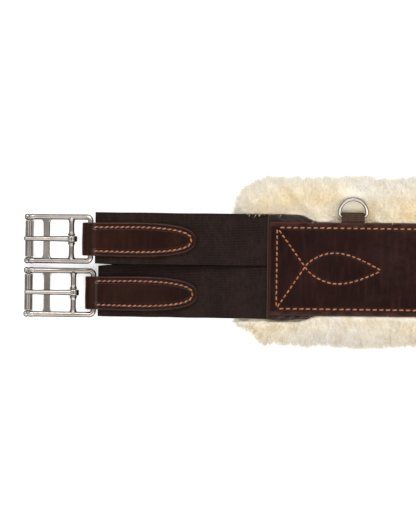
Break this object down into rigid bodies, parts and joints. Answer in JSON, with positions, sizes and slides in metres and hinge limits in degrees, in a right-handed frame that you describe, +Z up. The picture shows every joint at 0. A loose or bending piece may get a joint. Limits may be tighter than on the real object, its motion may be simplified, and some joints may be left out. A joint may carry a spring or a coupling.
{
  "type": "saddle girth",
  "caption": "Short saddle girth: padded leather panel lined with sheepskin, elastic straps, leather tabs and roller buckles at both ends, dee rings on one edge.",
  "frame": {"origin": "under the middle of the sheepskin, on the surface that the girth lies on", "axes": "+X along the girth, +Y towards its front edge with the dee rings, +Z up, leather side up"},
  "size_m": [0.7014, 0.122, 0.0282],
  "materials": {
    "dark_leather": "waxed, semi-gloss, dark brown",
    "reinforcement_leather": "matte, dark brown",
    "backing_leather": "matte, natural",
    "core_webbing": "woven nylon",
    "foam": "closed-cell foam",
    "hide": "suede side of the sheepskin",
    "wool": "dense cream wool",
    "elastic_webbing": "fine ribbed elastic, dark brown",
    "dee_webbing": "ribbed, brown",
    "polished_metal": "polished stainless steel"
  },
  "bodies": {
    "panel": {"outer_leather_panel": "dark_leather", "backing_leather": "backing_leather", "core_webbing": "core_webbing", "foam_core": "foam", "sheepskin_hide": "hide", "sheepskin_fleece": "wool", "left_end_reinforcement": "reinforcement_leather", "left_dee_loop": "dee_webbing", "right_end_reinforcement": "reinforcement_leather", "right_dee_loop": "dee_webbing"},
    "left_dee_ring": {"left_dee_ring": "polished_metal"},
    "left_front_strap": {"left_front_elastic": "elastic_webbing"},
    "left_front_chape": {"left_front_chape": "dark_leather"},
    "left_front_buckle": {"left_front_buckle_frame": "polished_metal", "left_front_roller_axle": "polished_metal"},
    "left_front_roller": {"left_front_roller": "polished_metal"},
    "left_front_tongue": {"left_front_tongue": "polished_metal"},
    "left_rear_strap": {"left_rear_elastic": "elastic_webbing"},
    "left_rear_chape": {"left_rear_chape": "dark_leather"},
    "left_rear_buckle": {"left_rear_buckle_frame": "polished_metal", "left_rear_roller_axle": "polished_metal"},
    "left_rear_roller": {"left_rear_roller": "polished_metal"},
    "left_rear_tongue": {"left_rear_tongue": "polished_metal"},
    "right_dee_ring": {"right_dee_ring": "polished_metal"},
    "right_front_strap": {"right_front_elastic": "elastic_webbing"},
    "right_front_chape": {"right_front_chape": "dark_leather"},
    "right_front_buckle": {"right_front_buckle_frame": "polished_metal", "right_front_roller_axle": "polished_metal"},
    "right_front_roller": {"right_front_roller": "polished_metal"},
    "right_front_tongue": {"right_front_tongue": "polished_metal"},
    "right_rear_strap": {"right_rear_elastic": "elastic_webbing"},
    "right_rear_chape": {"right_rear_chape": "dark_leather"},
    "right_rear_buckle": {"right_rear_buckle_frame": "polished_metal", "right_rear_roller_axle": "polished_metal"},
    "right_rear_roller": {"right_rear_roller": "polished_metal"},
    "right_rear_tongue": {"right_rear_tongue": "polished_metal"}
  },
  "joints": [
    {"name": "left_dee_ring_swing", "type": "hinge", "parent": "panel", "child": "left_dee_ring", "pos_m": [-0.112, 0.03545, 0.0227], "axis": [1, 0, 0], "range_deg": [0, 105]},
    {"name": "left_front_strap_flex", "type": "hinge", "parent": "panel", "child": "left_front_strap", "pos_m": [-0.182, 0.0165, 0.021], "axis": [0, 1, 0], "range_deg": [0, 70], "deforming": ["left_front_elastic"]},
    {"name": "left_front_elastic_stretch", "type": "slide", "parent": "left_front_strap", "child": "left_front_chape", "axis": [-0.9994, 0, -0.0349], "range_m": [0, 0.02], "stiffness_N_per_m": 6000, "deforming": ["left_front_elastic"]},
    {"name": "left_front_buckle_swing", "type": "hinge", "parent": "left_front_chape", "child": "left_front_buckle", "pos_m": [-0.30133, 0.0165, 0.01683], "axis": [0, -1, 0], "range_deg": [-133, 0]},
    {"name": "left_front_roller_spin", "type": "hinge", "parent": "left_front_buckle", "child": "left_front_roller", "pos_m": [-0.34687, 0.0165, 0.003], "axis": [0, 1, 0], "continuous": true},
    {"name": "left_front_tongue_swing", "type": "hinge", "parent": "left_front_buckle", "child": "left_front_tongue", "pos_m": [-0.31539, 0.0165, 0.01256], "axis": [0, 1, 0], "range_deg": [0, 120]},
    {"name": "left_rear_strap_flex", "type": "hinge", "parent": "panel", "child": "left_rear_strap", "pos_m": [-0.182, -0.0225, 0.021], "axis": [0, 1, 0], "range_deg": [0, 70], "deforming": ["left_rear_elastic"]},
    {"name": "left_rear_elastic_stretch", "type": "slide", "parent": "left_rear_strap", "child": "left_rear_chape", "axis": [-0.9913, 0, -0.1319], "range_m": [0, 0.02], "stiffness_N_per_m": 6000, "deforming": ["left_rear_elastic"]},
    {"name": "left_rear_buckle_swing", "type": "hinge", "parent": "left_rear_chape", "child": "left_rear_buckle", "pos_m": [-0.29946, -0.0225, 0.00537], "axis": [0, -1, 0], "range_deg": [-113, 0]},
    {"name": "left_rear_roller_spin", "type": "hinge", "parent": "left_rear_buckle", "child": "left_rear_roller", "pos_m": [-0.34701, -0.0225, 0.003], "axis": [0, 1, 0], "continuous": true},
    {"name": "left_rear_tongue_swing", "type": "hinge", "parent": "left_rear_buckle", "child": "left_rear_tongue", "pos_m": [-0.31415, -0.0225, 0.00464], "axis": [0, 1, 0], "range_deg": [0, 120]},
    {"name": "right_dee_ring_swing", "type": "hinge", "parent": "panel", "child": "right_dee_ring", "pos_m": [0.112, 0.03545, 0.0227], "axis": [1, 0, 0], "range_deg": [0, 105]},
    {"name": "right_front_strap_flex", "type": "hinge", "parent": "panel", "child": "right_front_strap", "pos_m": [0.182, 0.0165, 0.021], "axis": [0, -1, 0], "range_deg": [0, 70], "deforming": ["right_front_elastic"]},
    {"name": "right_front_elastic_stretch", "type": "slide", "parent": "right_front_strap", "child": "right_front_chape", "axis": [0.9994, 0, -0.0349], "range_m": [0, 0.02], "stiffness_N_per_m": 6000, "deforming": ["right_front_elastic"]},
    {"name": "right_front_buckle_swing", "type": "hinge", "parent": "right_front_chape", "child": "right_front_buckle", "pos_m": [0.30133, 0.0165, 0.01683], "axis": [0, 1, 0], "range_deg": [-133, 0]},
    {"name": "right_front_roller_spin", "type": "hinge", "parent": "right_front_buckle", "child": "right_front_roller", "pos_m": [0.34687, 0.0165, 0.003], "axis": [0, 1, 0], "continuous": true},
    {"name": "right_front_tongue_swing", "type": "hinge", "parent": "right_front_buckle", "child": "right_front_tongue", "pos_m": [0.31539, 0.0165, 0.01256], "axis": [0, -1, 0], "range_deg": [0, 120]},
    {"name": "right_rear_strap_flex", "type": "hinge", "parent": "panel", "child": "right_rear_strap", "pos_m": [0.182, -0.0225, 0.021], "axis": [0, -1, 0], "range_deg": [0, 70], "deforming": ["right_rear_elastic"]},
    {"name": "right_rear_elastic_stretch", "type": "slide", "parent": "right_rear_strap", "child": "right_rear_chape", "axis": [0.9913, 0, -0.1319], "range_m": [0, 0.02], "stiffness_N_per_m": 6000, "deforming": ["right_rear_elastic"]},
    {"name": "right_rear_buckle_swing", "type": "hinge", "parent": "right_rear_chape", "child": "right_rear_buckle", "pos_m": [0.29946, -0.0225, 0.00537], "axis": [0, 1, 0], "range_deg": [-113, 0]},
    {"name": "right_rear_roller_spin", "type": "hinge", "parent": "right_rear_buckle", "child": "right_rear_roller", "pos_m": [0.34701, -0.0225, 0.003], "axis": [0, 1, 0], "continuous": true},
    {"name": "right_rear_tongue_swing", "type": "hinge", "parent": "right_rear_buckle", "child": "right_rear_tongue", "pos_m": [0.31415, -0.0225, 0.00464], "axis": [0, -1, 0], "range_deg": [0, 120]}
  ]
}
